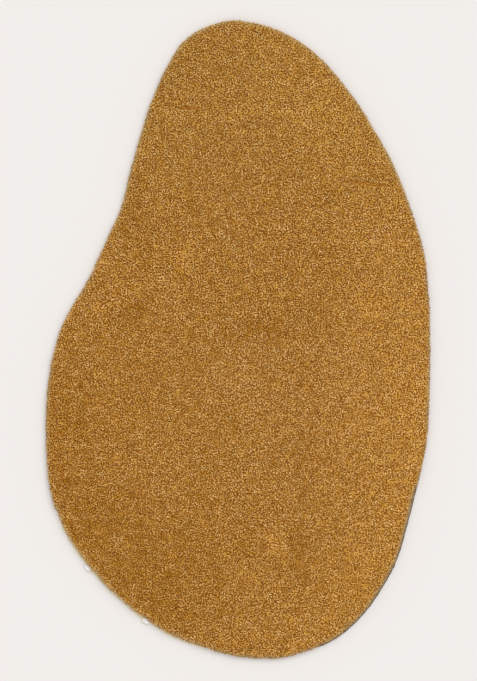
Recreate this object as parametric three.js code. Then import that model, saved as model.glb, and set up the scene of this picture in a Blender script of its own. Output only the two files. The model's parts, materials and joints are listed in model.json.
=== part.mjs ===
// A one-colour rug of short cut pile with a freeform pebble outline: a narrow round toe, a long convex
// right flank, a broad round foot, a bulging left hip and one shallow bay in the left flank.
// It lies flat on the floor in two pieces, the backing cloth and the tufted pile glued on top of it.
// Millimetres, +Z up. The origin is on the floor under the middle of the rug's box, +Y points to the
// toe, and +X to the right as the rug is seen from above.

import * as THREE from 'three';
import { mergeVertices } from 'three/addons/utils/BufferGeometryUtils.js';

// Driving dimensions
const rugLength = 1500;
const rugWidth = 906;
const backingThickness = 2;
const layerGap = 0.3;
const rugThickness = 15;

// Mesh steps
const stationCount = 160;
const rimSteps = 4;
const mergeDistance = 1e-4;

// The pile's rim in section: a quarter of an ellipse tucks in below its widest line, and a deeper one
// rolls over above it.
const widestHeight = 7;
const footTuck = 4;
const shoulderRoll = 9;

// The pile's top between the rolled rim and the middle of the rug, as shares of the way out
const topRings = [0, 0.12, 0.23, 0.34, 0.44, 0.54, 0.63, 0.72, 0.8, 0.87, 0.93, 0.97];
const middleOfRug = new THREE.Vector2(5, -110);

// Low swells in the cut surface, and the small waver of a rim that was sheared by hand
const swells = [
  { height: 0.5, lengthAcross: 310, lengthAlong: 420, start: 0.4 },
  { height: 0.35, lengthAcross: -170, lengthAlong: 260, start: 1.9 },
  { height: 0.25, lengthAcross: 95, lengthAlong: -130, start: 3.1 },
];
const wavers = [
  { depth: 0.8, waves: 9, start: 0.7 },
  { depth: 0.6, waves: 17, start: 2.2 },
  { depth: 0.4, waves: 31, start: 4.4 },
];

// The backing's cut edge hides under the pile, but was left a little large at two places of the foot.
const hiddenInset = 5;
const lips = [
  { place: 'left foot', across: -290, along: -610, reach: 300, proud: 3 },
  { place: 'right foot', across: 340, along: -540, reach: 380, proud: 3 },
];

// The outline, clockwise from the tip of the toe as seen from above
const outlinePoints = [
  { place: 'toe tip', across: -15, along: 750 },
  { place: 'toe right shoulder', across: 145, along: 701 },
  { place: 'right flank, top', across: 275, along: 565 },
  { place: 'right flank, upper', across: 362, along: 420 },
  { place: 'right flank, middle', across: 416, along: 280 },
  { place: 'right flank, lower', across: 446, along: 150 },
  { place: 'widest on the right', across: 453, along: -30 },
  { place: 'right hip', across: 444, along: -235 },
  { place: 'right foot, upper', across: 411, along: -385 },
  { place: 'right foot, lower', across: 349, along: -565 },
  { place: 'foot right corner', across: 224, along: -706 },
  { place: 'foot', across: 50, along: -750 },
  { place: 'foot left corner', across: -165, along: -690 },
  { place: 'left foot', across: -322, along: -565 },
  { place: 'left hip, lower', across: -430, along: -400 },
  { place: 'widest on the left', across: -454, along: -210 },
  { place: 'left hip, upper', across: -427, along: 0 },
  { place: 'bay, lower', across: -346, along: 160 },
  { place: 'bay, middle', across: -281, along: 297 },
  { place: 'bay, upper', across: -247, along: 430 },
  { place: 'toe left flank', across: -188, along: 600 },
  { place: 'toe left corner', across: -120, along: 708 },
];

function boxOf(points) {
  const box = new THREE.Box2();
  points.forEach((point) => box.expandByPoint(point));
  return box;
}

// Evenly spaced stations on a smooth closed curve, centred on the origin and fitted to the rug's size
function outlineStations() {
  const corners = outlinePoints.map(({ across, along }) => new THREE.Vector3(across, along, 0));
  const curve = new THREE.CatmullRomCurve3(corners, true, 'centripetal');
  const spaced = curve.getSpacedPoints(stationCount).slice(0, stationCount);
  const flat = spaced.map(({ x, y }) => new THREE.Vector2(x, y));
  const box = boxOf(flat);
  const centre = box.getCenter(new THREE.Vector2());
  const size = box.getSize(new THREE.Vector2());
  const fit = new THREE.Vector2(rugWidth, rugLength).divide(size);
  return flat.map((point) => point.sub(centre).multiply(fit));
}

// The outward direction at each station, square to the line through its neighbours
function outwardAt(stations, index) {
  const count = stations.length;
  const before = stations[(index + count - 1) % count];
  const after = stations[(index + 1) % count];
  const along = after.clone().sub(before).normalize();
  return new THREE.Vector2(-along.y, along.x);
}

function swellAt({ x, y }) {
  const fullTurn = 2 * Math.PI;
  return swells.reduce((sum, { height, lengthAcross, lengthAlong, start }) => {
    return sum + height * Math.sin(fullTurn * (x / lengthAcross + y / lengthAlong) + start);
  }, 0);
}

function waverAt(index) {
  const turn = (2 * Math.PI * index) / stationCount;
  return wavers.reduce((sum, { depth, waves, start }) => sum + depth * Math.sin(waves * turn + start), 0);
}

// How far the backing's edge comes out from its hidden place at a station
function lipAt(station) {
  return lips.reduce((sum, { across, along, reach, proud }) => {
    const away = station.distanceTo(new THREE.Vector2(across, along)) / reach;
    return sum + (hiddenInset + proud) * (1 - THREE.MathUtils.smoothstep(away, 0.5, 1));
  }, 0);
}

// A slab on the outline: a lathe gives the closed faces, and each of its points moves to its station.
// A ring has a share of the way out from the middle, an inset from the outline and a height.
function slabGeometry(stations, rings, insetAt, liftAt) {
  const profile = rings.map(({ share, height }) => new THREE.Vector2(share, height));
  const geometry = new THREE.LatheGeometry(profile, stationCount);
  geometry.deleteAttribute('normal');
  geometry.deleteAttribute('uv');
  const position = geometry.getAttribute('position');
  for (let point = 0; point < position.count; point += 1) {
    const ring = rings[point % rings.length];
    const index = Math.floor(point / rings.length) % stationCount;
    const inset = insetAt(ring, index, stations[index]);
    const rim = stations[index].clone().addScaledVector(outwardAt(stations, index), -inset);
    const place = middleOfRug.clone().lerp(rim, ring.share);
    const height = ring.height + (ring.lifted ? liftAt(place) : 0);
    position.setXYZ(point, place.x, place.y, height);
  }
  const merged = mergeVertices(geometry, mergeDistance);
  merged.computeVertexNormals();
  return merged;
}

// From the middle of the top, out and round the rolled rim, and back under to the middle
function pileRings() {
  const underside = backingThickness + layerGap;
  const rings = topRings.map((share) => {
    return { share, inset: shoulderRoll, height: rugThickness, lifted: true };
  });
  for (let step = 0; step < rimSteps; step += 1) {
    const turn = (Math.PI / 2) * (step / rimSteps);
    const inset = shoulderRoll * (1 - Math.sin(turn));
    const height = widestHeight + (rugThickness - widestHeight) * Math.cos(turn);
    rings.push({ share: 1, inset, height, lifted: step === 0 });
  }
  for (let step = 0; step <= rimSteps; step += 1) {
    const turn = (Math.PI / 2) * (step / rimSteps);
    const inset = footTuck * (1 - Math.cos(turn));
    const height = widestHeight - (widestHeight - underside) * Math.sin(turn);
    rings.push({ share: 1, inset, height });
  }
  rings.push({ share: 0, inset: footTuck, height: underside });
  return rings;
}

function pileMesh(stations) {
  const insetAt = (ring, index) => ring.inset + waverAt(index);
  const geometry = slabGeometry(stations, pileRings(), insetAt, swellAt);
  const material = new THREE.MeshStandardMaterial({ color: 0xa67436, roughness: 0.95, metalness: 0 });
  const mesh = new THREE.Mesh(geometry, material);
  mesh.name = 'pile';
  return mesh;
}

function backingMesh(stations) {
  const rings = [
    { share: 0, height: backingThickness },
    { share: 1, height: backingThickness },
    { share: 1, height: 0 },
    { share: 0, height: 0 },
  ];
  const insetAt = (ring, index, station) => waverAt(index) + hiddenInset - lipAt(station);
  const geometry = slabGeometry(stations, rings, insetAt, () => 0);
  const material = new THREE.MeshStandardMaterial({ color: 0xd9cdb6, roughness: 0.9, metalness: 0 });
  const mesh = new THREE.Mesh(geometry, material);
  mesh.name = 'backing';
  return mesh;
}

const rug = new THREE.Group();
const stations = outlineStations();
rug.add(backingMesh(stations), pileMesh(stations));

export default rug;
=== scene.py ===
"""A one-colour rug of short cut pile with a freeform pebble outline, in yarn around its CAD frame.

The pile is a low bed of yarn roots with some ninety-five thousand leaning tufts on it. It lies on a
backing cloth whose raw edge peeks out at the foot. Metres, +Z up, the toe of the rug towards +Y.
"""

import json
import math

import bpy
from bpy.props import FloatProperty, FloatVectorProperty, IntProperty, PointerProperty
from bpy.types import Operator, Panel, PropertyGroup
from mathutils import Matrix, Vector

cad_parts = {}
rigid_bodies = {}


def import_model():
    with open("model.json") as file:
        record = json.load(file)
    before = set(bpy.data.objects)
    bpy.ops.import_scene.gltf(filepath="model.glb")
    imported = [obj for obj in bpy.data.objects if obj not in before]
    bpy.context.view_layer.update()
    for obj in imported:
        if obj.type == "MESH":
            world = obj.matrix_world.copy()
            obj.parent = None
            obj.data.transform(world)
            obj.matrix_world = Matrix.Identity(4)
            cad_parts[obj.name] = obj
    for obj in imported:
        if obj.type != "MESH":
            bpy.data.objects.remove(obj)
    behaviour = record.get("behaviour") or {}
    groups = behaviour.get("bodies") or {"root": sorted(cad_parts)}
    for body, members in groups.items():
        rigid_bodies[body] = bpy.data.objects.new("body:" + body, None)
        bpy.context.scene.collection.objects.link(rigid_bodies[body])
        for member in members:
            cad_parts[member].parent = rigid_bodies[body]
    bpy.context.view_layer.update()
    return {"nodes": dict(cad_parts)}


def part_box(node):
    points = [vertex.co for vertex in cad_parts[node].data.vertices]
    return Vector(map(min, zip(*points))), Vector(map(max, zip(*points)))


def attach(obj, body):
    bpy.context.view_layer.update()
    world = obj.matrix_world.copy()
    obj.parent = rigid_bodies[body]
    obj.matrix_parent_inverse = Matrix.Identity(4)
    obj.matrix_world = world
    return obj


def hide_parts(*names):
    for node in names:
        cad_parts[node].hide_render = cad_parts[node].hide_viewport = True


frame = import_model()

bl_info = {
    "name": "Freeform Cut-Pile Rug",
    "version": (1, 0, 0),
    "blender": (4, 5, 0),
    "location": "View3D > Sidebar > Rug",
    "description": "Dresses the packed rug in tufted yarn and backing cloth on a studio floor",
    "category": "Object",
}

PILE_LOW, PILE_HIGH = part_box("pile")

MILLIMETRE = 0.001
MERGE_DISTANCE = 1e-5
FULL_TURN = 2 * math.pi

# The photo's frame, and where the rug's origin lies in it
PHOTO_SIZE = (477, 681)
PHOTO_ORIGIN = (238.0, 339.5)
RUG_LENGTH = 1.5
RUG_PIXELS_LONG = 639
METRES_A_PIXEL = RUG_LENGTH / RUG_PIXELS_LONG

# The pile is built in bands across the rug, each one piece, from the foot up to the toe
BANDS = [
    {"name": "tufts_foot", "from": -0.80, "to": -0.455},
    {"name": "tufts_hip", "from": -0.455, "to": -0.262},
    {"name": "tufts_middle", "from": -0.262, "to": -0.07},
    {"name": "tufts_waist", "from": -0.07, "to": 0.137},
    {"name": "tufts_shoulder", "from": 0.137, "to": 0.385},
    {"name": "tufts_toe", "from": 0.385, "to": 0.80},
]

# Shapes of one tuft: how far its stem bends over, and how far it curls to its side as it lies
TUFT_SHAPES = [
    {"name": "tuft_upright", "bend": 10, "curl": 10},
    {"name": "tuft_leaning", "bend": 30, "curl": -15},
    {"name": "tuft_curled_left", "bend": 40, "curl": 40},
    {"name": "tuft_curled_right", "bend": 35, "curl": -45},
    {"name": "tuft_lying", "bend": 60, "curl": 15},
]

# A tuft widens from its bound root to the rim of its cut end, at this share of its length
TUFT_SIDES = 5
CUT_END_HEIGHT = 0.78

# The root's height on the tuft's yarn map, whose cut end is at one and its rim halfway
ROOT_ROW = 1 / 3

# The smallest and the largest tuft, as shares of the usual width, width and length
TUFT_SIZES = ((0.75, 0.75, 0.86), (1.2, 1.2, 1.14))

# The shortest and the longest tuft on the rim's wall, as shares of the settings' rim length
RAGGED_LENGTHS = (0.8, 1.2)

# Places where the pile has parted and shows a dark line, in metres, and the line's turn in degrees
PARTINGS = [
    {"place": "tip of the toe", "across": -0.128, "along": 0.653, "turn": 25, "half_length": 0.018},
    {"place": "left of the toe", "across": -0.115, "along": 0.543, "turn": 3, "half_length": 0.03},
    {"place": "right shoulder", "across": 0.305, "along": 0.366, "turn": -8, "half_length": 0.056},
    {"place": "foot", "across": -0.112, "along": -0.647, "turn": 4, "half_length": 0.022},
    {"place": "left hip", "across": -0.413, "along": -0.311, "turn": 88, "half_length": 0.02},
]

# Bits of clean cloth that stick out of the edge at the left of the foot, as ovals in the same way
CLOTH_BITS = [
    {"bit": "upper", "across": -0.353, "along": -0.537, "turn": -52,
     "half_length": 0.01, "half_width": 0.008},
    {"bit": "lower", "across": -0.215, "along": -0.659, "turn": -35,
     "half_length": 0.01, "half_width": 0.008},
]

# How far such a bit stands out and up, and how much its mark is raised to leave it a flat middle
BIT_OUT = 4.2 * MILLIMETRE
BIT_UP = 3.2 * MILLIMETRE
BIT_GAIN = 3

# How fast the cloth turns from its plain left half to its darkened right half, in shares a metre,
# and how far in shares of the tuck its edge is let out on the left and drawn in on the right
HALVES_RATE = 12
TUCK_LIMITS = (-1.0, 1.2)

# The oval in the middle of the rug where the tufts differ most from each other
LIVELY_MIDDLE = {
    "across": 0.08, "along": -0.1, "turn": 90, "half_length": 0.42, "half_width": 0.32,
}

# Patches where the pile was brushed another way, painted lighter (above nought) or darker as the
# light and shade that its nap takes there, and on the right flank partly as the light from the upper
# right.
# Each is an oval at a place, with its long and short half sizes in metres and its length's turn in
# degrees.
PAINTED_NAP_PATCHES = [
    {"patch": "right flank", "across": 0.4, "along": -0.1, "turn": 88,
     "half_length": 0.66, "half_width": 0.24, "tone": 0.23},
    {"patch": "right of the toe", "across": 0.2, "along": 0.56, "turn": -52,
     "half_length": 0.34, "half_width": 0.14, "tone": 0.17},
    {"patch": "right of the foot", "across": 0.25, "along": -0.6, "turn": 50,
     "half_length": 0.22, "half_width": 0.14, "tone": 0.17},
    {"patch": "left hip", "across": -0.4, "along": -0.2, "turn": 92,
     "half_length": 0.42, "half_width": 0.1, "tone": -0.12},
    {"patch": "left of the foot", "across": -0.25, "along": -0.52, "turn": -42,
     "half_length": 0.26, "half_width": 0.16, "tone": -0.24},
    {"patch": "bay", "across": -0.27, "along": 0.33, "turn": 100,
     "half_length": 0.2, "half_width": 0.07, "tone": -0.22},
    {"patch": "above the hip", "across": -0.254, "along": 0.058, "turn": 30,
     "half_length": 0.06, "half_width": 0.035, "tone": -0.34},
    {"patch": "middle", "across": 0.063, "along": 0.034, "turn": 10,
     "half_length": 0.07, "half_width": 0.04, "tone": -0.18},
    {"patch": "across the toe", "across": 0.028, "along": 0.527, "turn": 0,
     "half_length": 0.24, "half_width": 0.02, "tone": 0.18},
    {"patch": "right shoulder", "across": 0.298, "along": 0.374, "turn": 0,
     "half_length": 0.075, "half_width": 0.012, "tone": -0.3},
    {"patch": "middle of the foot", "across": -0.054, "along": -0.541, "turn": 90,
     "half_length": 0.09, "half_width": 0.012, "tone": -0.32},
    {"patch": "right half of the foot", "across": 0.146, "along": -0.435, "turn": 90,
     "half_length": 0.24, "half_width": 0.014, "tone": -0.26},
    {"patch": "beside that one", "across": 0.087, "along": -0.482, "turn": 70,
     "half_length": 0.045, "half_width": 0.03, "tone": 0.34},
    {"patch": "left half of the foot", "across": -0.282, "along": -0.482, "turn": 20,
     "half_length": 0.04, "half_width": 0.03, "tone": 0.3},
    {"patch": "left of the waist", "across": -0.124, "along": 0.198, "turn": 60,
     "half_length": 0.05, "half_width": 0.03, "tone": 0.32},
    {"patch": "right of the waist", "across": 0.297, "along": 0.082, "turn": -45,
     "half_length": 0.06, "half_width": 0.03, "tone": 0.3},
]

# What a tuft's grain is made of: how much an average tuft has of each, and how much each counts.
# The side's darkening to the root is painted shade, and the cut end's pale star is partly the open
# fibres' paleness and partly a painted highlight
GRAIN = {
    "own": {"average": 0.5, "weight": 0.32},
    "star": {"average": 0.6, "weight": 0.3},
    "side": {"average": 0.9, "weight": 0.4},
    "fibres": {"average": 0.5, "weight": 0.36},
    "specks": {"average": 0.5, "weight": 3.1},
}

# The imported yarn under the tufts: how steep its lumps are, how much each thing counts in its light,
# and how much darker it is all over; the lumps' dark edges and that darkening are painted shade
BED = {"steepness": 1.2, "lump": 0.7, "own": 0.4, "fibres": 0.6, "darker": 0.15}

# The cloth's weave: how far its threads drift, in threads, the sizes in metres of that drift, its
# fibres and its slubs, and the tone of its hollows, which is painted shade
WEAVE = {"drift": 0.8, "drift_size": 0.03, "fibre_size": 0.0006, "slub_size": 0.012, "hollow": 0.88}

# How much the threads' height, which paints shade into the hollows between them, the fibres and the
# slubs count in the cloth's shade
WEAVE_SHADE = {"height": 0.7, "fibres": 0.3, "slubs": 0.5}

# How strongly the cloth is darkened on the right, and how unevenly
EDGE_DARKENING = {"strength": 0.9, "uneven": 0.8}

# How often a tuft's streaks change round it, up it and from one tuft to the next
STREAKS = {"around": 14, "up": 2, "own": 40}

# The cut end's pale star: where it starts up the tuft, how fast it pales, and how uneven it is
STAR = {"start": 0.5, "rise": 3.0, "uneven": 2.4}

# How much stronger or weaker the grain is from one small patch to the next
PATCH_CONTRAST = {"gain": 2.5, "loss": 0.3, "limits": (0.3, 1.9)}

# How lively the grain is outside the middle of the rug, what the middle adds, and what is lost
# towards the toe and with the painted light and shade, which counts within limits
LIVELINESS = {"outside": 0.86, "middle": 0.16, "toe": 0.8, "brushed": 1.3, "limits": (0.3, 1.2)}
PAINTED_LIGHT_LIMITS = (-0.05, 0.5)

# The toe as a share that rises along the rug, from a little above its waist
TOE = {"rise": 0.5, "start": 0.08, "full": 0.16}

# How much the painted light and shade and slow clouds shade the yarn beside its mottling, and the
# darkest that it gets
SHADING = {"brushed": 0.65, "cloud": 0.36, "darkest": -0.5}
MOTTLE_SIZE = 0.017
CLOUD_SIZE = 0.32

# How much red, green and blue change with the yarn's shade, and towards the toe
SHADE_TINT = (0.72, 1.06, 2.3)
TOE_TINT = (-0.15, 0.2, 1.0)

# A warm tuft is up to this much more golden, and a dull one this much more like sheared yarn
GOLDEN = {"share": 0.25, "tint": (1.0, 0.96, 0.88)}
SHEARED_SHARE = 0.35

# Slopes of the bed, as the height of a face's normal: the rim's wall is below the first, tufts grow
# above the second, and the level top is above the third
WALL_SLOPE = 0.9
ROOTED_SLOPE = -0.2
LEVEL_SLOPE = 0.95

# Points that are tried for each tuft's share of the bed, so that it is planted densely
TRIES_A_TUFT = 20

# The foot as a share that grows down the rug, where the tufts flare less
FOOT = {"rise": 5, "start": 1.2}

# The size and the reach of the waver in the outlines of the patches of painted nap light and shade
PATCH_WAVER = 0.05

# The rug's darker lower right as a share that grows towards it, and how much painted shade darkens
# the foot of the rim's wall there and all round
SHADED_SIDE = {"across": 3, "along": 0.9, "start": 0.35}
WALL_FOOT_SHADE = {"rise": 1.15, "shaded": 1.5, "all_round": 0.25}


def length_setting(name, description, metres):
    """A length that a user may change."""
    return FloatProperty(
        name=name, description=description, default=metres, subtype="DISTANCE", unit="LENGTH"
    )


def angle_setting(name, description, degrees):
    """An angle that a user may change, whose default is given in degrees."""
    return FloatProperty(
        name=name,
        description=description,
        default=math.radians(degrees),
        subtype="ANGLE",
        unit="ROTATION",
    )


def number_setting(name, description, default):
    """A share, slope or strength that a user may change."""
    return FloatProperty(name=name, description=description, default=default)


def colour_setting(name, description, default):
    """A colour that a user may change, as linear red, green and blue."""
    return FloatVectorProperty(name=name, description=description, default=default, subtype="COLOR")


class RugPileSettings(PropertyGroup):
    """Sizes and colours of the tufted pile."""

    tuft_spacing: length_setting(
        "Tuft spacing", "Least distance between the roots of two tufts", 2.62 * MILLIMETRE
    )
    tuft_length: length_setting("Tuft length", "Length of the yarn above the bed", 6.6 * MILLIMETRE)
    tuft_width: length_setting("Tuft width", "Width of one tuft's open end", 4.5 * MILLIMETRE)
    bed_drop: length_setting(
        "Bed drop", "How far the bed of roots lies below the cut surface", 2.8 * MILLIMETRE
    )
    root_depth: length_setting(
        "Root depth", "How deep the root of a tuft is sunk in the bed", 2.6 * MILLIMETRE
    )
    swirl_size: length_setting(
        "Swirl size", "Size of the patches in which the tufts lean alike", 24 * MILLIMETRE
    )
    swirl_lean: number_setting(
        "Swirl lean", "How far the tufts of a patch lean together, as a slope", 0.22
    )
    stray_lean: number_setting(
        "Stray lean", "How far single tufts lean on their own, as a slope", 0.3
    )
    rim_flare: number_setting(
        "Rim flare", "How far the tufts of the rim stand outwards, as a slope", 0.75
    )
    foot_tuck: number_setting(
        "Foot tuck",
        "How much less the tufts flare round the foot, where the backing cloth shows",
        0.25,
    )
    rim_length: number_setting(
        "Rim length", "Length of the tufts on the rim's wall as a share of the others", 1.0
    )
    # A painted highlight: the pile is painted lighter round its rim, fading out over the level pile
    rim_light: number_setting(
        "Rim light",
        "How much lighter the pile is at its rim, where the tufts have room to open",
        0.34,
    )
    rim_reach: length_setting(
        "Rim reach", "How far the lighter rim fades out over the level pile", 8 * MILLIMETRE
    )
    patch_grain: length_setting(
        "Patch size",
        "Size of the patches in which the tufts differ more or less from each other",
        19 * MILLIMETRE,
    )
    fibre_size: length_setting(
        "Fibre size", "Size of the bundles of fibre in a cut end", 0.9 * MILLIMETRE
    )
    speck_size: length_setting(
        "Speck size", "Size of the specks of paler and darker fibre in the yarn", 2.8 * MILLIMETRE
    )
    seed: IntProperty(
        name="Seed",
        description="Start of the random draws for the places and leans of the tufts",
        default=7,
    )
    # The roots' dark colour is partly the painted shade down between the tufts and partly darker
    # specks; the pale colour of the cut ends is partly a painted highlight
    yarn_light: colour_setting(
        "Yarn, cut ends", "Colour of the palest open yarn ends", (0.82, 0.535, 0.205)
    )
    yarn_plain: colour_setting("Yarn, sides", "Colour of the yarn's sides", (0.665, 0.328, 0.04))
    yarn_dark: colour_setting(
        "Yarn, roots", "Colour of the yarn down between the tufts", (0.29, 0.084, 0.001)
    )
    yarn_sheared: colour_setting(
        "Yarn, sheared rim",
        "Dull colour that the sheared tufts of the rim take on in part",
        (0.35, 0.32, 0.23),
    )


class RugBackingSettings(PropertyGroup):
    """Sizes and colours of the backing cloth."""

    thread_pitch: length_setting(
        "Thread pitch", "Distance between two threads of the plain weave", 1.4 * MILLIMETRE
    )
    cut_wander: length_setting(
        "Cut wander", "How far the hand-cut edge of the cloth wanders in and out", 4.0 * MILLIMETRE
    )
    cut_fray: length_setting(
        "Cut fray", "How far single threads of the cut edge stand in and out", 2.4 * MILLIMETRE
    )
    cut_band: length_setting(
        "Cut band", "Width of the narrow band of faces along the cut edge", 2.2 * MILLIMETRE
    )
    tuck: length_setting(
        "Tuck",
        "How far the cloth is drawn in under the pile on the right, and let out on the left",
        2.2 * MILLIMETRE,
    )
    cloth: colour_setting("Cloth", "Colour of the unbleached backing cloth", (0.97, 0.87, 0.66))
    # A dark colour that what shows of the cloth takes on at the right of the foot
    right_edge_dark: colour_setting(
        "Stained cloth",
        "Colour of the glue-stained cloth at the right of the foot",
        (0.13, 0.10, 0.065),
    )
    lint: colour_setting(
        "White bits",
        "Colour of the two bits of clean cloth that stick out at the left of the foot",
        (0.95, 0.945, 0.93),
    )


class RugStageSettings(PropertyGroup):
    """Floor, light and camera."""

    floor: colour_setting("Floor", "Colour of the plain floor", (0.80, 0.768, 0.745))
    ambient: number_setting(
        "Ambient light", "Brightness of the light that comes from all round", 0.72
    )
    overhead: number_setting(
        "Overhead light", "Strength of the very broad light straight above", 0.314
    )
    overhead_spread: angle_setting("Overhead spread", "Angle that the overhead light fills", 110)
    key: number_setting("Key light", "Strength of the broad light from the upper right", 1.15)
    key_elevation: angle_setting("Key elevation", "Height of the broad light above the floor", 52)
    key_turn: angle_setting("Key turn", "Direction of the broad light, from +X towards +Y", 55)
    key_spread: angle_setting(
        "Key spread", "Angle that the broad light fills, which softens its shadows", 50
    )
    camera_height: length_setting(
        "Camera height",
        "Height of the camera over the rug, as of a studio camera with a long lens",
        6.0,
    )


class Field:
    """A node's output socket that takes part in Python expressions.

    Numbers go through Math nodes, and vectors and colours through Vector Math nodes.
    """

    def __init__(self, tree, socket):
        self.tree = tree
        self.socket = socket

    def is_vector(self):
        return self.socket.type in {"VECTOR", "RGBA"}

    def math(self, operation, *others):
        values = (self, *others)
        vector = any(isinstance(value, Field) and value.is_vector() for value in values)
        node = self.tree.nodes.new("ShaderNodeVectorMath" if vector else "ShaderNodeMath")
        node.operation = operation
        for socket, value in zip(node.inputs, values):
            connect(self.tree, socket, value)
        return Field(self.tree, node.outputs[0])

    def flipped(self, operation, other):
        """The operation with this field as its second value and a plain number as its first."""
        vector = self.is_vector()
        node = self.tree.nodes.new("ShaderNodeVectorMath" if vector else "ShaderNodeMath")
        node.operation = operation
        connect(self.tree, node.inputs[0], other)
        connect(self.tree, node.inputs[1], self)
        return Field(self.tree, node.outputs[0])

    def __add__(self, other):
        return self.math("ADD", other)

    def __radd__(self, other):
        return self.flipped("ADD", other)

    def __sub__(self, other):
        return self.math("SUBTRACT", other)

    def __rsub__(self, other):
        return self.flipped("SUBTRACT", other)

    def __mul__(self, other):
        return self.math("MULTIPLY", other)

    def __rmul__(self, other):
        return self.flipped("MULTIPLY", other)

    def __truediv__(self, other):
        return self.math("DIVIDE", other)

    def __rtruediv__(self, other):
        return self.flipped("DIVIDE", other)

    def clamped(self, low=0.0, high=1.0):
        return self.math("MAXIMUM", low).math("MINIMUM", high)


class Outputs:
    """The outputs of one node, picked by name."""

    def __init__(self, tree, node):
        self.tree = tree
        self.node = node

    def __getitem__(self, name):
        return Field(self.tree, shown_socket(self.node.outputs, name))


def shown_socket(sockets, name):
    """The socket of that name that the node's settings leave in use."""
    return next(socket for socket in sockets if socket.name == name and socket.enabled)


def connect(tree, socket, value):
    """Links a field to a socket, or sets a plain value on it."""
    if isinstance(value, Field):
        tree.links.new(value.socket, socket)
    elif socket.type == "VECTOR" and isinstance(value, (int, float)):
        socket.default_value = (value, value, value)
    elif socket.type == "RGBA" and len(value) == 3:
        socket.default_value = (*value, 1.0)
    else:
        socket.default_value = value


class Nodes:
    """Adds nodes to one tree: a type, its settings, and the values or links of its sockets."""

    def __init__(self, tree):
        self.tree = tree

    def add(self, kind, settings=None, inputs=None):
        node = self.tree.nodes.new(kind)
        for name, value in (settings or {}).items():
            setattr(node, name, value)
        for name, value in (inputs or {}).items():
            connect(self.tree, shown_socket(node.inputs, name), value)
        return Outputs(self.tree, node)

    def vector(self, x, y, z):
        return self.add("ShaderNodeCombineXYZ", inputs={"X": x, "Y": y, "Z": z})["Vector"]

    def parts(self, vector):
        split = self.add("ShaderNodeSeparateXYZ", inputs={"Vector": vector})
        return split["X"], split["Y"], split["Z"]

    def noise(self, vector, scale, detail=2.0, roughness=0.5):
        return self.add(
            "ShaderNodeTexNoise",
            inputs={"Vector": vector, "Scale": scale, "Detail": detail, "Roughness": roughness},
        )

    def unevenness(self, vector, size, detail, roughness=0.5):
        """Noise about nought, with spots of that size."""
        return self.noise(vector, 1 / size, detail, roughness)["Fac"] - 0.5

    def blend(self, amount, first, second, way="MIX"):
        return self.add(
            "ShaderNodeMix",
            {"data_type": "RGBA", "blend_type": way, "clamp_factor": True},
            {"Factor": amount, "A": first, "B": second},
        )["Result"]

    def bump(self, height, strength, distance):
        inputs = {"Strength": strength, "Distance": distance, "Height": height}
        return self.add("ShaderNodeBump", inputs=inputs)["Normal"]


def deselect_all():
    if bpy.context.object and bpy.context.object.mode != "OBJECT":
        bpy.ops.object.mode_set(mode="OBJECT")
    bpy.ops.object.select_all(action="DESELECT")


def make_active(piece):
    deselect_all()
    piece.select_set(True)
    bpy.context.view_layer.objects.active = piece


def copy_of_node(node, name):
    """A new piece that starts as a CAD node's mesh, with its loose triangles merged."""
    piece = bpy.data.objects.new(name, frame["nodes"][node].data.copy())
    bpy.context.scene.collection.objects.link(piece)
    piece.data.name = name
    piece.data.materials.clear()
    make_active(piece)
    bpy.ops.object.mode_set(mode="EDIT")
    bpy.ops.mesh.select_all(action="SELECT")
    bpy.ops.mesh.remove_doubles(threshold=MERGE_DISTANCE)
    bpy.ops.object.mode_set(mode="OBJECT")
    return piece


def select_parts(piece, kind, test):
    """Selects the faces, edges or points that pass the test, and leaves the piece in edit mode."""
    make_active(piece)
    bpy.ops.object.mode_set(mode="EDIT")
    bpy.ops.mesh.select_mode(type=kind)
    bpy.ops.mesh.select_all(action="DESELECT")
    bpy.ops.object.mode_set(mode="OBJECT")
    mesh = piece.data
    for part in {"FACE": mesh.polygons, "EDGE": mesh.edges, "VERT": mesh.vertices}[kind]:
        part.select = test(part)
    bpy.ops.object.mode_set(mode="EDIT")


def apply_modifier(piece, kind, **settings):
    """Adds a modifier with its settings and applies it."""
    make_active(piece)
    modifier = piece.modifiers.new(kind.lower(), kind)
    for name, value in settings.items():
        setattr(modifier, name, value)
    bpy.ops.object.modifier_apply(modifier=modifier.name)


def new_material(name):
    """A new material, its nodes and its output."""
    material = bpy.data.materials.new(name)
    material.use_nodes = True
    material.node_tree.nodes.clear()
    nodes = Nodes(material.node_tree)
    output = nodes.add("ShaderNodeOutputMaterial")
    return material, nodes, output


def finish_material(nodes, output, inputs):
    """Feeds the shader's sockets and links it to the material's output."""
    shader = nodes.add("ShaderNodeBsdfPrincipled", inputs=inputs)
    connect(nodes.tree, output.node.inputs["Surface"], shader["BSDF"])


def yarn_colour(nodes, settings, light):
    """The yarn's colour: dark roots at nought, partly painted shade, plain sides halfway, and pale
    ends at one, partly a painted highlight.
    """
    lower = nodes.blend((light * 2).clamped(), settings.yarn_dark, settings.yarn_plain)
    return nodes.blend((light * 2 - 1).clamped(), lower, settings.yarn_light)


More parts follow.
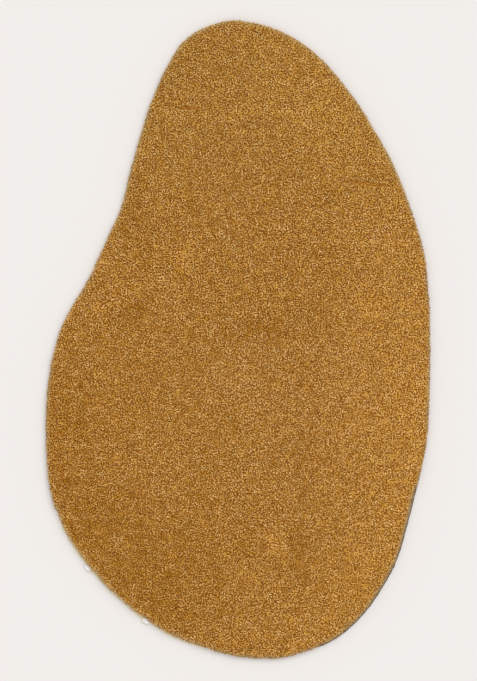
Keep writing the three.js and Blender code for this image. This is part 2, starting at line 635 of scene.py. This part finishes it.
def yarn_material(settings):
    """Matt wool yarn with streaked sides and pale open ends, and a tone of each tuft's own."""
    material, nodes, output = new_material("wool_yarn")
    place = nodes.add("ShaderNodeTexCoord")["Object"]
    x, y, _ = nodes.parts(place)
    around, up, _ = nodes.parts(nodes.add("ShaderNodeUVMap", {"uv_map": "yarn"})["UV"])
    up = (up - ROOT_ROW) / (1 - ROOT_ROW)
    tone = nodes.add("ShaderNodeAttribute", {"attribute_name": "tone"})["Vector"]
    # Each tuft's own brightness and warmth, and the painted light and shade of its place
    bright, warm, brushed = nodes.parts(tone)

    own_place = nodes.vector(
        around * STREAKS["around"], up * STREAKS["up"], bright * STREAKS["own"]
    )
    streaks = nodes.noise(own_place, 1.0)["Fac"]
    fibres = nodes.noise(place, 1 / settings.fibre_size, roughness=0.6)["Fac"]
    flat_place = place * nodes.vector(1.0, 1.0, 0.0)
    specks = nodes.noise(flat_place, 1 / settings.speck_size, detail=0.0)["Fac"]

    # The open fibres of the cut end are pale in an uneven star, partly as a painted highlight, and
    # the sides darken to the root in painted shade
    star = ((up - STAR["start"]) * STAR["rise"] + (streaks - 0.5) * STAR["uneven"]).clamped()
    side = (up * 2).clamped()
    shown = {"own": bright, "star": star, "side": side, "fibres": fibres, "specks": specks}
    grain = sum((shown[name] - row["average"]) * row["weight"] for name, row in GRAIN.items())

    # The grain is stronger in some patches and in the middle of the rug than elsewhere
    toe = (y * TOE["rise"] - TOE["start"]).clamped(0.0, TOE["full"])
    patches = nodes.noise(place, 1 / settings.patch_grain, detail=1.0)["Fac"]
    contrast = patches * PATCH_CONTRAST["gain"] - PATCH_CONTRAST["loss"]
    lively = LIVELINESS["outside"] + closeness(x, y, LIVELY_MIDDLE) * LIVELINESS["middle"]
    lively = lively - toe * LIVELINESS["toe"]
    lively = lively - brushed.clamped(*PAINTED_LIGHT_LIMITS) * LIVELINESS["brushed"]
    strength = contrast.clamped(*PATCH_CONTRAST["limits"])
    light = grain * strength * lively.clamped(*LIVELINESS["limits"]) + 0.5
    colour = yarn_colour(nodes, settings, light)

    # Painted light and shade (of the nap patches, the rim, the foot of its wall and the partings),
    # mottling and slow clouds make the yarn lighter or darker as a whole, red least and blue most,
    # and it gets a little greyer towards the toe
    mottle = nodes.unevenness(place, MOTTLE_SIZE, detail=1.0)
    cloud = nodes.unevenness(place, CLOUD_SIZE, detail=3.0, roughness=0.75)
    shade = brushed * SHADING["brushed"] + mottle + cloud * SHADING["cloud"]
    shade = shade.math("MAXIMUM", SHADING["darkest"])
    tint = shade * nodes.vector(*SHADE_TINT) + 1 + toe * nodes.vector(*TOE_TINT)
    colour = colour * tint
    golden_share = (warm * GOLDEN["share"]).clamped()
    colour = nodes.blend(golden_share, colour, GOLDEN["tint"], way="MULTIPLY")
    dull_share = (warm * -SHEARED_SHARE).clamped()
    colour = nodes.blend(dull_share, colour, settings.yarn_sheared)
    finish_material(
        nodes,
        output,
        {
            "Base Color": colour,
            "Roughness": 0.92,
            "Normal": nodes.bump(streaks + fibres * 0.7, strength=0.8, distance=0.9 * MILLIMETRE),
            "Sheen Weight": 0.18,
            "Sheen Roughness": 0.45,
            "Sheen Tint": (1.0, 0.8, 0.45),
            "Specular IOR Level": 0.1,
        },
    )
    return material


def bed_material(settings):
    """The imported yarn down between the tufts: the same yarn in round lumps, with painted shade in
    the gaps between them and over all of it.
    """
    material, nodes, output = new_material("yarn_roots")
    place = nodes.add("ShaderNodeTexCoord")["Object"]
    cells = nodes.add(
        "ShaderNodeTexVoronoi",
        {"feature": "F1"},
        {"Vector": place, "Scale": 1 / settings.tuft_spacing, "Randomness": 0.9},
    )
    bright = nodes.parts(cells["Color"])[0]
    fibres = nodes.noise(place, 1 / settings.fibre_size, detail=3.0)["Fac"]
    # Each lump is painted lighter in its middle, with painted shade towards the gaps
    lump = 1 - cells["Distance"] * BED["steepness"]
    light = lump * BED["lump"] + (bright - 0.5) * BED["own"] + (fibres - 0.5) * BED["fibres"]
    finish_material(
        nodes,
        output,
        {
            "Base Color": yarn_colour(nodes, settings, light - BED["darker"]),
            "Roughness": 0.95,
            "Normal": nodes.bump(lump + fibres * 0.3, strength=0.9, distance=2 * MILLIMETRE),
        },
    )
    return material


def cloth_material(settings):
    """Unbleached plain weave: warp and weft threads over and under each other, a little uneven."""
    # The hollows between the threads are painted in shade
    hollow_shade_colour = tuple(channel * WEAVE["hollow"] for channel in settings.cloth)
    material, nodes, output = new_material("plain_weave")
    place = nodes.add("ShaderNodeTexCoord")["Object"]
    x, y, _ = nodes.parts(place)
    drift = nodes.unevenness(place, WEAVE["drift_size"], detail=1.0) * WEAVE["drift"]
    columns = (x / settings.thread_pitch + drift) * math.pi
    rows = (y / settings.thread_pitch + drift) * math.pi
    warp = columns.math("SINE").math("ABSOLUTE")
    weft = rows.math("SINE").math("ABSOLUTE")
    over = (columns / math.pi).math("FLOOR") + (rows / math.pi).math("FLOOR")
    turn = (over * math.pi).math("COSINE") * 0.5 + 0.5
    height = warp * turn + weft * (1 - turn)
    fibres = nodes.noise(place, 1 / WEAVE["fibre_size"], detail=3.0)["Fac"]
    slubs = nodes.unevenness(place, WEAVE["slub_size"], detail=2.0)
    # Painted shade in the weave's hollows, with the fibres and slubs
    shade = height * WEAVE_SHADE["height"] + fibres * WEAVE_SHADE["fibres"]
    shade = (shade + slubs * WEAVE_SHADE["slubs"]).clamped()
    colour = nodes.blend(shade, hollow_shade_colour, settings.cloth)

    # What shows of the cloth is darkened on the right, and clean and white in two places on the left
    edge = nodes.add("ShaderNodeAttribute", {"attribute_name": "edge"})["Fac"]
    edge_darkening = (edge * EDGE_DARKENING["strength"] + slubs * EDGE_DARKENING["uneven"]).clamped()
    edge_darkening = edge_darkening * (x * HALVES_RATE).clamped()
    colour = nodes.blend(edge_darkening, colour, settings.right_edge_dark)
    colour = nodes.blend(white_bits(x, y).clamped(), colour, settings.lint)
    finish_material(
        nodes,
        output,
        {
            "Base Color": colour,
            "Roughness": 0.9,
            "Normal": nodes.bump(height + fibres * 0.3, strength=0.7, distance=0.5 * MILLIMETRE),
            "Sheen Weight": 0.1,
        },
    )
    return material


def floor_material(settings):
    """Plain matt studio floor."""
    material, nodes, output = new_material("studio_floor")
    finish_material(nodes, output, {"Base Color": settings.floor, "Roughness": 0.9})
    return material


def tuft_shape(settings, row):
    """Models one tuft with its root on the origin: it blooms from a point to a low dome.

    The sphere has two rings, at 30 degrees over and under its middle. The lower one is merged into
    the root, and the upper one is the rim.
    """
    radius = 0.5
    rim_height = radius / 2
    rim_radius = radius * math.cos(math.radians(30))
    deselect_all()
    bpy.ops.mesh.primitive_uv_sphere_add(
        segments=TUFT_SIDES, ring_count=3, radius=radius, calc_uvs=True
    )
    tuft = bpy.context.object
    tuft.name = row["name"]
    tuft.data.uv_layers.active.name = "yarn"
    select_parts(tuft, "VERT", lambda point: point.co.z < 0)
    bpy.ops.mesh.merge(type="CENTER")
    bpy.ops.object.mode_set(mode="OBJECT")
    root_height = min(point.co.z for point in tuft.data.vertices)
    select_parts(tuft, "VERT", lambda point: point.co.z < 0)
    bpy.ops.transform.translate(value=(0, 0, -radius - root_height))
    select_parts(tuft, "VERT", lambda point: abs(point.co.z - rim_height) < MILLIMETRE)
    wide = radius / rim_radius
    bpy.ops.transform.resize(value=(wide, wide, 1), center_override=(0, 0, 0))
    bpy.ops.transform.translate(value=(0, 0, CUT_END_HEIGHT - radius - rim_height))
    bpy.ops.mesh.select_all(action="SELECT")
    full_size = (settings.tuft_width, settings.tuft_width, settings.tuft_length)
    bpy.ops.transform.resize(value=full_size, center_override=(0, 0, 0))
    bpy.ops.transform.translate(value=(0, 0, settings.tuft_length / 2))
    bpy.ops.object.mode_set(mode="OBJECT")
    for axis, degrees in (("Y", row["bend"]), ("Z", row["curl"])):
        bend = {"deform_method": "BEND", "deform_axis": axis, "angle": math.radians(degrees)}
        apply_modifier(tuft, "SIMPLE_DEFORM", **bend)
    tuft.data.shade_smooth()
    return tuft


def row_frame(across, along, row):
    """A place seen from a table row: how far it is down the row's line, and how far beside it."""
    turn = math.radians(row["turn"])
    x = across - row["across"]
    y = along - row["along"]
    down = x * math.cos(turn) + y * math.sin(turn)
    beside = y * math.cos(turn) - x * math.sin(turn)
    return down, beside


def closeness(across, along, row):
    """One in the middle of a table row's oval, falling to nought at its outline."""
    down, beside = row_frame(across, along, row)
    lengthwise = (down / row["half_length"]).math("POWER", 2.0)
    widthwise = (beside / row["half_width"]).math("POWER", 2.0)
    return (1 - (lengthwise + widthwise)).math("MAXIMUM", 0.0)


def parting_lean(nodes, across, along):
    """The lean away from each parting, as a vector that is nought but close beside its line."""
    reach = 0.007
    strength = 1.1
    total = None
    for row in PARTINGS:
        _, beside = row_frame(across, along, row)
        turn = math.radians(row["turn"])
        near = closeness(across, along, {**row, "half_width": reach})
        push = beside.math("SIGN") * near * strength
        lean = nodes.vector(push * -math.sin(turn), push * math.cos(turn), 0.0)
        total = lean if total is None else total + lean
    return total


def parting_shade(across, along):
    """How much darker the yarn is down in the partings."""
    reach = 0.0045
    depth = -0.58
    return sum(closeness(across, along, {**row, "half_width": reach}) for row in PARTINGS) * depth


def painted_nap_tone(across, along):
    """Painted light and shade where the pile was brushed another way, summed over the patches."""
    return sum(closeness(across, along, row) * row["tone"] for row in PAINTED_NAP_PATCHES)


def white_bits(across, along):
    """Above nought at the places where a bit of clean cloth sticks out of the edge."""
    return sum(closeness(across, along, row) for row in CLOTH_BITS) * BIT_GAIN


def new_tree(name, source):
    """A geometry node tree that takes one geometry of that name and gives back another."""
    tree = bpy.data.node_groups.new(name, "GeometryNodeTree")
    tree.interface.new_socket(source, in_out="INPUT", socket_type="NodeSocketGeometry")
    tree.interface.new_socket("Result", in_out="OUTPUT", socket_type="NodeSocketGeometry")
    nodes = Nodes(tree)
    output = tree.nodes.new("NodeGroupOutput")
    return nodes, nodes.add("NodeGroupInput")[source], output.inputs["Result"]


def stored(nodes, geometry, name, value, data_type="FLOAT_VECTOR", domain="POINT"):
    """The geometry with the value kept on it under that name."""
    return nodes.add(
        "GeometryNodeStoreNamedAttribute",
        {"data_type": data_type, "domain": domain},
        {"Geometry": geometry, "Name": name, "Value": value},
    )["Geometry"]


def random_vector(nodes, low, high, seed):
    return nodes.add(
        "FunctionNodeRandomValue",
        {"data_type": "FLOAT_VECTOR"},
        {"Min": low, "Max": high, "Seed": seed},
    )["Value"]


def named_vector(nodes, name):
    return nodes.add(
        "GeometryNodeInputNamedAttribute", {"data_type": "FLOAT_VECTOR"}, {"Name": name}
    )["Attribute"]


def roots_tree(settings):
    """Geometry nodes that plant all the tufts' roots, each with its direction, lean and tones."""
    nodes, bed, result = new_tree("tuft_roots", "Bed")
    place = nodes.add("GeometryNodeInputPosition")["Position"]
    across, along, height = nodes.parts(place)
    normal = nodes.add("GeometryNodeInputNormal")["Normal"]
    slope = nodes.parts(normal)[2]
    bed = stored(nodes, bed, "outward", normal)
    wall = nodes.add(
        "GeometryNodeSeparateGeometry",
        {"domain": "FACE"},
        {"Geometry": bed, "Selection": slope.math("ABSOLUTE").math("LESS_THAN", WALL_SLOPE)},
    )["Selection"]
    planted = nodes.add(
        "GeometryNodeDistributePointsOnFaces",
        {"distribute_method": "POISSON"},
        {
            "Mesh": bed,
            "Selection": slope.math("GREATER_THAN", ROOTED_SLOPE),
            "Distance Min": settings.tuft_spacing,
            "Density Max": TRIES_A_TUFT / settings.tuft_spacing**2,
            "Seed": settings.seed,
        },
    )
    roots = nodes.add("GeometryNodePointsToVertices", inputs={"Points": planted["Points"]})["Mesh"]

    # Each root's place on the bed rolled out flat
    outward = named_vector(nodes, "outward")
    level = nodes.vector(1.0, 1.0, 0.0)
    bed_top = PILE_HIGH[2] - settings.bed_drop
    roots = stored(nodes, roots, "root", place + outward * level * (bed_top - height))

    # The lean: with its patch, on its own, and away from the partings. Round the rim the tufts fan
    # out. Noise only swings a third of the way, so the swirls are raised.
    top = nodes.parts(outward)[2].clamped()
    full_swing = 3
    swirl = (nodes.noise(place, 1 / settings.swirl_size, detail=1.0)["Color"] - 0.5) * level
    stray = random_vector(nodes, (-1.0, -1.0, 0.0), (1.0, 1.0, 0.0), settings.seed + 2)
    lean = swirl * (settings.swirl_lean * full_swing) * top + stray * settings.stray_lean
    at_foot = (along * -FOOT["rise"] - FOOT["start"]).clamped()
    flare = settings.rim_flare - at_foot * settings.foot_tuck
    lean = lean + parting_lean(nodes, across, along) + outward * nodes.vector(flare, flare, 0.0)
    roots = stored(nodes, roots, "lean", lean)

    # Its own brightness, its warmth (below nought where it is dull at the rim) and its painted light
    # and
    # shade: its nap patch's, a painted highlight round the rim, and painted shade at the foot of the
    # rim's wall and down in the partings
    drift = nodes.noise(place, 1 / PATCH_WAVER, detail=1.0)["Color"] - 0.5
    near_x, near_y, _ = nodes.parts(place + drift * PATCH_WAVER)
    own = nodes.parts(random_vector(nodes, (0.0, 0.0, 0.0), (1.0, 1.0, 1.0), settings.seed + 1))
    to_wall = nodes.add("GeometryNodeProximity", inputs={"Geometry": wall})["Distance"]
    # Closeness to the rim, where the painted highlight lies
    near_rim = (1 - to_wall / settings.rim_reach).clamped()
    shaded_side = across * SHADED_SIDE["across"] - along * SHADED_SIDE["along"]
    shaded_side = (shaded_side - SHADED_SIDE["start"]).clamped()
    # Painted shade at the foot of the rim's wall, strongest towards the lower right
    foot = (1 - height / bed_top * WALL_FOOT_SHADE["rise"]).clamped()
    foot = foot * (shaded_side * WALL_FOOT_SHADE["shaded"] + WALL_FOOT_SHADE["all_round"])
    patch = painted_nap_tone(near_x, near_y) * (1 - near_rim) + near_rim * settings.rim_light - foot
    patch = patch + parting_shade(across, along)
    dull = (near_rim * 2 - 1).clamped()
    warm = own[1] * (1 - dull) - dull
    roots = stored(nodes, roots, "tone", nodes.vector(own[0], warm, patch))
    rooted = nodes.add(
        "GeometryNodeSetPosition",
        inputs={"Geometry": roots, "Offset": outward * -settings.root_depth},
    )["Geometry"]
    connect(nodes.tree, result, rooted)
    return nodes.tree


def tuft_tree(settings, band, shapes):
    """Geometry nodes that set the tufts of one band on their roots and make them real."""
    nodes, roots, result = new_tree(band["name"], "Roots")
    place = nodes.add("GeometryNodeInputPosition")["Position"]
    along = nodes.parts(place)[1]
    outside = along.math("LESS_THAN", band["from"]) + (1 - along.math("LESS_THAN", band["to"]))
    points = nodes.add(
        "GeometryNodeDeleteGeometry", {"domain": "POINT"}, {"Geometry": roots, "Selection": outside}
    )["Geometry"]

    lean = named_vector(nodes, "lean")
    upright = nodes.vector(0.0, 0.0, 1.0)
    turned = nodes.add(
        "FunctionNodeAxesToRotation",
        {"primary_axis": "Z", "secondary_axis": "X"},
        {"Primary Axis": (lean + upright).math("NORMALIZE"), "Secondary Axis": lean},
    )["Rotation"]

    # Each tuft's size, ragged on the rim's wall, and its shape: one of the first two on the wall
    top = nodes.parts(named_vector(nodes, "outward"))[2].clamped()
    size = random_vector(nodes, *TUFT_SIZES, settings.seed + 3)
    shortest, longest = ((0.0, 0.0, length) for length in RAGGED_LENGTHS)
    ragged = nodes.parts(random_vector(nodes, shortest, longest, settings.seed + 5))[2]
    short = ragged * settings.rim_length
    size = size * nodes.vector(1.0, 1.0, top * (1 - short) + short)
    last_shape = top.math("GREATER_THAN", LEVEL_SLOPE) * (len(TUFT_SHAPES) - 2) + 1
    variant = nodes.add(
        "FunctionNodeRandomValue",
        {"data_type": "INT"},
        {"Min": 0, "Max": last_shape, "Seed": settings.seed + 4},
    )["Value"]
    choice = nodes.add(
        "GeometryNodeCollectionInfo",
        inputs={"Collection": shapes, "Separate Children": True, "Reset Children": True},
    )["Instances"]
    tufts = nodes.add(
        "GeometryNodeInstanceOnPoints",
        inputs={
            "Points": points,
            "Instance": choice,
            "Pick Instance": True,
            "Instance Index": variant,
            "Rotation": turned,
            "Scale": size,
        },
    )["Instances"]
    tufts = nodes.add("GeometryNodeRealizeInstances", inputs={"Geometry": tufts})["Geometry"]

    # A small patch for each tuft on the band's map: its root outside, its cut end in the middle
    root_x, root_y, _ = nodes.parts(named_vector(nodes, "root"))
    turn, way_up, _ = nodes.parts(named_vector(nodes, "yarn"))
    just_under_half = 0.49
    radius = (1 - way_up) * (settings.tuft_spacing * just_under_half / (1 - ROOT_ROW))
    margin = 8 * MILLIMETRE
    low_x, high_x = PILE_LOW[0] - margin, PILE_HIGH[0] + margin
    low_y = max(band["from"], PILE_LOW[1]) - margin
    high_y = min(band["to"], PILE_HIGH[1]) + margin
    map_x = (root_x + (turn * FULL_TURN).math("COSINE") * radius - low_x) / (high_x - low_x)
    map_y = (root_y + (turn * FULL_TURN).math("SINE") * radius - low_y) / (high_y - low_y)
    tufts = stored(nodes, tufts, "OFBake", nodes.vector(map_x, map_y, 0.0), "FLOAT2", "CORNER")
    connect(nodes.tree, result, tufts)
    return nodes.tree


def raw_edge_tree(settings):
    """Geometry nodes that let the cloth's cut edge wander and fray, and lift its two white bits.

    All but the underside is marked for the material, which darkens what shows of it on the right.
    """
    wander_size = 0.022
    fray_size = 0.0036
    nodes, cloth, result = new_tree("raw_edge", "Cloth")
    across, along, _ = nodes.parts(nodes.add("GeometryNodeInputPosition")["Position"])
    normal = nodes.add("GeometryNodeInputNormal")["Normal"]
    edge = (nodes.parts(normal)[2] * 2 + 1.6).clamped()
    cloth = stored(nodes, cloth, "edge", edge, "FLOAT")
    flat_place = nodes.vector(across, along, 0.0)
    wander = nodes.unevenness(flat_place, wander_size, detail=1.0)
    fray = nodes.unevenness(flat_place, fray_size, detail=0.0)
    bit = white_bits(across, along).clamped()
    out = wander * settings.cut_wander + fray * settings.cut_fray + bit * BIT_OUT
    out = out - (across * HALVES_RATE).clamped(*TUCK_LIMITS) * settings.tuck
    sideways = normal * nodes.vector(out, out, 0.0)
    upwards = nodes.vector(0.0, 0.0, bit * BIT_UP)
    moved = nodes.add(
        "GeometryNodeSetPosition", inputs={"Geometry": cloth, "Offset": sideways + upwards}
    )["Geometry"]
    connect(nodes.tree, result, moved)
    return nodes.tree


class RUG_OT_backing_cloth(Operator):
    """Turn the backing solid into woven cloth with a raw edge"""

    bl_idname = "rug.backing_cloth"
    bl_label = "Backing Cloth"

    def execute(self, context):
        settings = context.scene.rug_backing
        cloth = copy_of_node("backing", "backing_cloth")
        flat_enough = 0.9
        select_parts(cloth, "FACE", lambda face: abs(face.normal.z) > flat_enough)
        bpy.ops.mesh.inset(thickness=settings.cut_band)
        long_enough = 6 * MILLIMETRE
        middle_reach = 0.15

        def is_cut_edge(edge):
            """Whether it is a long edge round the rug, and not one that ends near the middle."""
            start, end = (cloth.data.vertices[index].co for index in edge.vertices)
            away = min(start.length, end.length)
            return (end - start).length > long_enough and away > middle_reach

        select_parts(cloth, "EDGE", is_cut_edge)
        bpy.ops.mesh.subdivide(number_cuts=7)
        bpy.ops.object.mode_set(mode="OBJECT")
        apply_modifier(cloth, "NODES", node_group=raw_edge_tree(settings))
        cloth.data.shade_flat()
        cloth.data.materials.append(cloth_material(settings))
        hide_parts("backing")
        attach(cloth, "root")
        return {"FINISHED"}


class RUG_OT_pile_bed(Operator):
    """Lower the top of the pile solid to the roots of the yarn"""

    bl_idname = "rug.pile_bed"
    bl_label = "Pile Bed"

    def execute(self, context):
        settings = context.scene.rug_pile
        bed = copy_of_node("pile", "pile_bed")
        level_enough = 0.995
        select_parts(bed, "FACE", lambda face: abs(face.normal.z) < level_enough)
        bpy.ops.mesh.delete(type="FACE")
        middle_height = (PILE_LOW[2] + PILE_HIGH[2]) / 2
        select_parts(bed, "VERT", lambda point: point.co.z > middle_height)
        bpy.ops.transform.translate(value=(0, 0, -settings.bed_drop))
        bpy.ops.mesh.select_all(action="DESELECT")
        bpy.ops.mesh.select_mode(type="EDGE")
        bpy.ops.mesh.select_non_manifold()
        bpy.ops.mesh.bridge_edge_loops(
            number_cuts=3, interpolation="LINEAR", profile_shape_factor=0.004
        )
        bpy.ops.mesh.select_all(action="SELECT")
        bpy.ops.mesh.normals_make_consistent(inside=False)
        bpy.ops.object.mode_set(mode="OBJECT")
        bed.data.shade_smooth()
        bed.data.materials.append(bed_material(settings))
        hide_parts("pile")
        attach(bed, "root")
        return {"FINISHED"}


class RUG_OT_tufts(Operator):
    """Plant the yarn tufts on the bed, band by band"""

    bl_idname = "rug.tufts"
    bl_label = "Tufts"

    def execute(self, context):
        settings = context.scene.rug_pile
        bed = bpy.data.objects["pile_bed"]
        shapes = bpy.data.collections.new("tuft_shapes")
        for row in TUFT_SHAPES:
            shapes.objects.link(tuft_shape(settings, row))
        roots = bpy.data.objects.new("tuft_roots", bed.data.copy())
        context.scene.collection.objects.link(roots)
        apply_modifier(roots, "NODES", node_group=roots_tree(settings))
        yarn = yarn_material(settings)
        for band in BANDS:
            piece = bpy.data.objects.new(band["name"], roots.data.copy())
            context.scene.collection.objects.link(piece)
            piece.data.name = band["name"]
            apply_modifier(piece, "NODES", node_group=tuft_tree(settings, band, shapes))
            for name in ("outward", "root", "lean"):
                piece.data.attributes.remove(piece.data.attributes[name])
            piece.data.materials.clear()
            piece.data.materials.append(yarn)
            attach(piece, "root")
        for tuft in (*shapes.objects, roots):
            bpy.data.objects.remove(tuft)
        bpy.data.collections.remove(shapes)
        return {"FINISHED"}


class RUG_OT_stage(Operator):
    """Lay the floor and set the soft studio light and the camera overhead"""

    bl_idname = "rug.stage"
    bl_label = "Stage"

    def execute(self, context):
        settings = context.scene.rug_stage
        deselect_all()
        floor_size = 80
        bpy.ops.mesh.primitive_plane_add(size=floor_size)
        floor = bpy.context.object
        floor.name = "studio_floor"
        floor.data.materials.append(floor_material(settings))

        world = bpy.data.worlds.new("studio_light")
        context.scene.world = world
        world.use_nodes = True
        background = world.node_tree.nodes["Background"]
        background.inputs["Color"].default_value = (1.0, 1.0, 1.0, 1.0)
        background.inputs["Strength"].default_value = settings.ambient

        bpy.ops.object.light_add(type="SUN")
        overhead = bpy.context.object
        overhead.name = "overhead_light"
        overhead.data.energy = settings.overhead
        overhead.data.angle = settings.overhead_spread
        bpy.ops.object.light_add(type="SUN")
        key = bpy.context.object
        key.name = "key_light"
        key.data.energy = settings.key
        key.data.angle = settings.key_spread
        rise, turn = settings.key_elevation, settings.key_turn
        level = math.cos(rise)
        towards = Vector((level * math.cos(turn), level * math.sin(turn), math.sin(rise)))
        key.rotation_euler = towards.to_track_quat("Z", "Y").to_euler()
        context.scene.view_settings.view_transform = "Standard"

        bpy.ops.object.camera_add()
        camera = bpy.context.object
        camera.name = "photo_camera"
        rim_height = 7 * MILLIMETRE
        seen_length = PHOTO_SIZE[1] * METRES_A_PIXEL
        to_rim = settings.camera_height - rim_height
        camera.data.lens = camera.data.sensor_width * to_rim / seen_length
        camera.location = (
            (PHOTO_SIZE[0] / 2 - PHOTO_ORIGIN[0]) * METRES_A_PIXEL,
            (PHOTO_ORIGIN[1] - PHOTO_SIZE[1] / 2) * METRES_A_PIXEL,
            settings.camera_height,
        )
        context.scene.camera = camera
        return {"FINISHED"}


class VIEW3D_PT_rug(Panel):
    """The rug's operators and sizes in the sidebar"""

    bl_label = "Freeform Rug"
    bl_space_type = "VIEW_3D"
    bl_region_type = "UI"
    bl_category = "Rug"

    def draw(self, context):
        column = self.layout.column()
        for operator in OPERATORS:
            column.operator(operator.bl_idname)
        scene = context.scene
        for settings in (scene.rug_pile, scene.rug_backing, scene.rug_stage):
            box = self.layout.box()
            for name in settings.__annotations__:
                box.prop(settings, name)


OPERATORS = (RUG_OT_backing_cloth, RUG_OT_pile_bed, RUG_OT_tufts, RUG_OT_stage)
SETTINGS = {
    "rug_pile": RugPileSettings,
    "rug_backing": RugBackingSettings,
    "rug_stage": RugStageSettings,
}
CLASSES = (*SETTINGS.values(), *OPERATORS, VIEW3D_PT_rug)


def register():
    for entry in CLASSES:
        bpy.utils.register_class(entry)
    for name, group in SETTINGS.items():
        setattr(bpy.types.Scene, name, PointerProperty(type=group))


def unregister():
    for name in SETTINGS:
        delattr(bpy.types.Scene, name)
    for entry in reversed(CLASSES):
        bpy.utils.unregister_class(entry)


def main():
    register()
    bpy.ops.rug.backing_cloth()
    bpy.ops.rug.pile_bed()
    bpy.ops.rug.tufts()
    bpy.ops.rug.stage()


if __name__ == "__main__":
    main()
